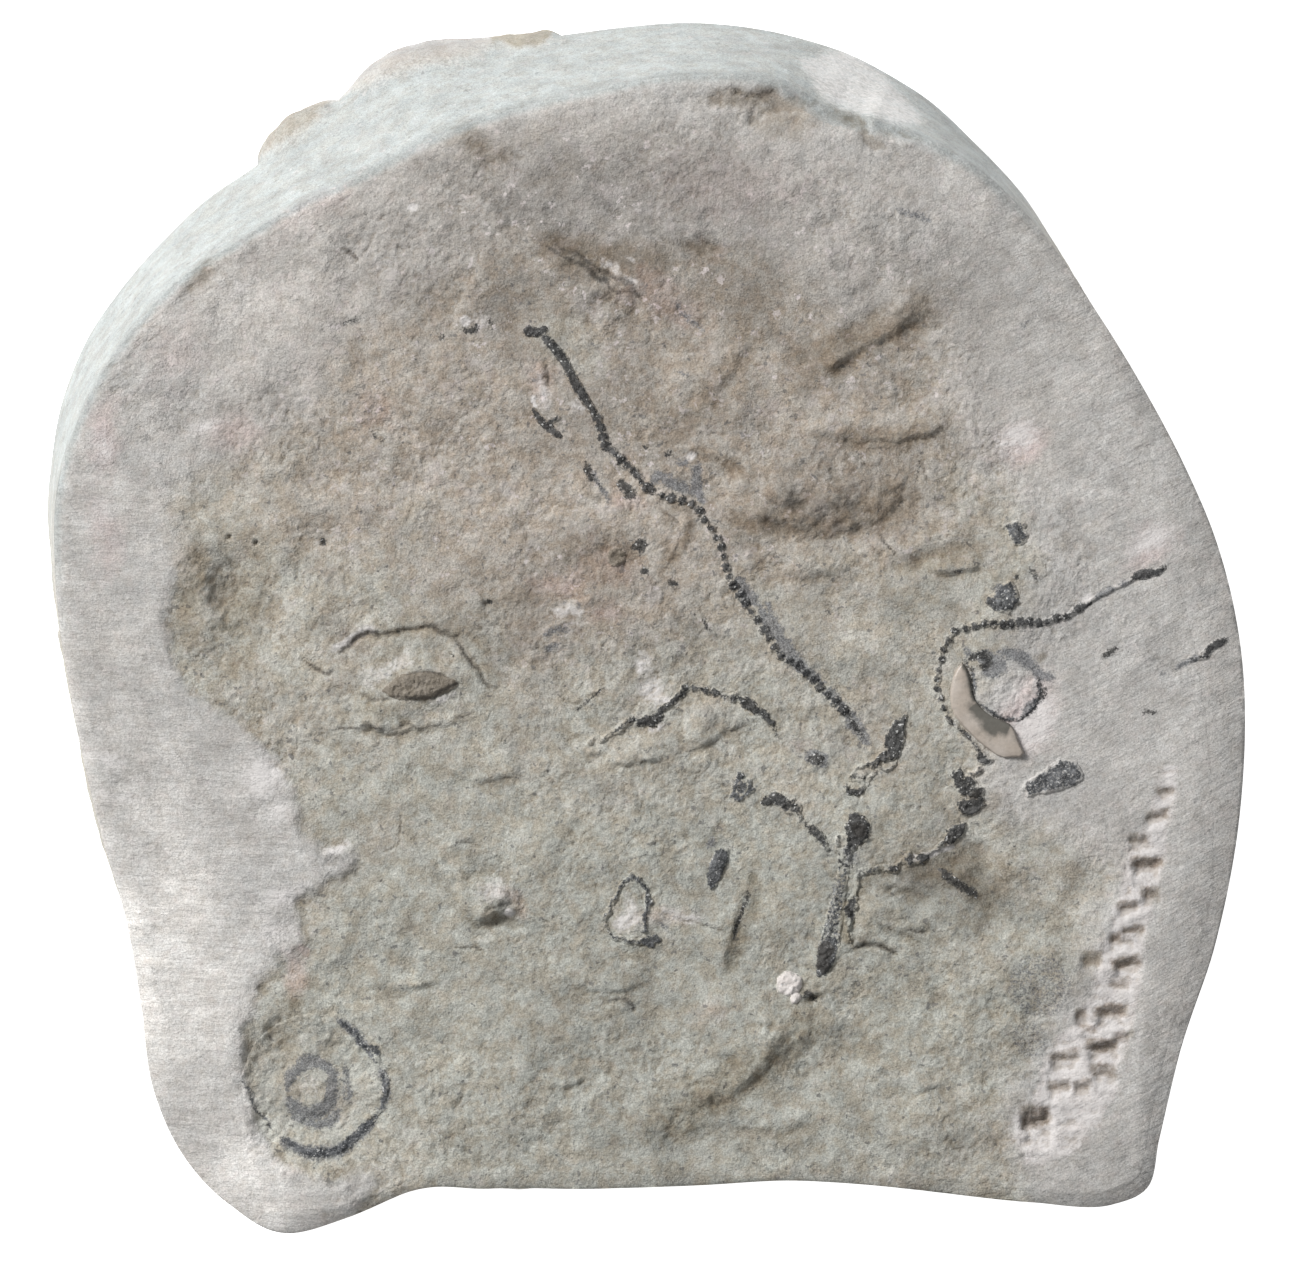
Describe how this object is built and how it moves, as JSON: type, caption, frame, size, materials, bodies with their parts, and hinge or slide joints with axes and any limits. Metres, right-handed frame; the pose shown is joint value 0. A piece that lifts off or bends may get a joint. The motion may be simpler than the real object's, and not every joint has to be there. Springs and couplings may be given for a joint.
{
  "type": "crinoid fossil",
  "caption": "Trimmed slab of pale mudstone with a dark, beaded crinoid bedded in its face, its thin arms spread above a short stem.",
  "frame": {"origin": "on the back face the slab rests on, under the middle of its outline's box", "axes": "+Z out of the fossil face, +Y towards the arched end, away from the hollowed bottom edge, +X to the right seen from the face"},
  "size_m": [0.087, 0.0876, 0.0207],
  "materials": {
    "mudstone": "matt, fine-grained, filed smooth round the rim",
    "dark_calcite": "dark, slightly waxy",
    "grey_calcite": "blue-grey, granular",
    "brown_calcite": "brown-grey, granular",
    "pale_calcite": "pale pink, chalky",
    "shell": "smooth, slightly glossy fossil shell"
  },
  "bodies": {
    "root": {"matrix_slab": "mudstone", "stem": "grey_calcite", "cup": "dark_calcite", "cup_plates": "dark_calcite", "side_plate": "dark_calcite", "long_arm": "dark_calcite", "left_arm": "dark_calcite", "lower_arm": "dark_calcite", "right_arm_root": "dark_calcite", "right_arm": "dark_calcite", "arm_fragment_left": "dark_calcite", "arm_fragment_rim": "dark_calcite", "stem_disc_large": "grey_calcite", "stem_disc_small": "grey_calcite", "loose_plate_left": "grey_calcite", "loose_plate_top": "grey_calcite", "loose_plate_right": "grey_calcite", "loose_plate_upper": "grey_calcite", "loose_plate_far": "grey_calcite", "teardrop_shell": "grey_calcite", "lens_shell": "brown_calcite", "round_grain": "brown_calcite", "pale_grain": "pale_calcite", "shell_shard": "shell"}
  },
  "joints": []
}
